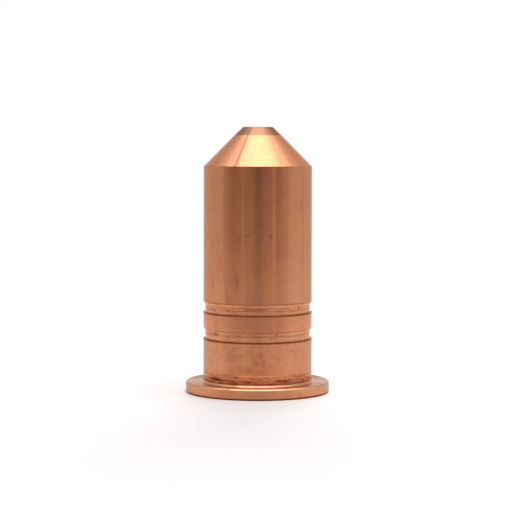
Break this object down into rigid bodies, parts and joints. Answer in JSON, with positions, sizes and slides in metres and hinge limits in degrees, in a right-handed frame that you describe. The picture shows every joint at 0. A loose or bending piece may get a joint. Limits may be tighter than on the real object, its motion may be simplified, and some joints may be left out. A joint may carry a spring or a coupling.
{
  "type": "plasma torch nozzle",
  "caption": "Long-body plasma torch nozzle: hollow turned copper barrel with a base flange, shallow ring grooves, a nose cone and a bevelled tip with an arc orifice.",
  "frame": {"origin": "centre of the flange's underside, on the turning axis", "axes": "+Z along the turning axis, from the flange to the tip; X and Y are free, because the part is the same all the way round"},
  "size_m": [0.0186, 0.0186, 0.0341],
  "materials": {
    "copper": "turned, uncoated copper, tarnished near the flange"
  },
  "bodies": {
    "root": {"nozzle": "copper"}
  },
  "joints": []
}
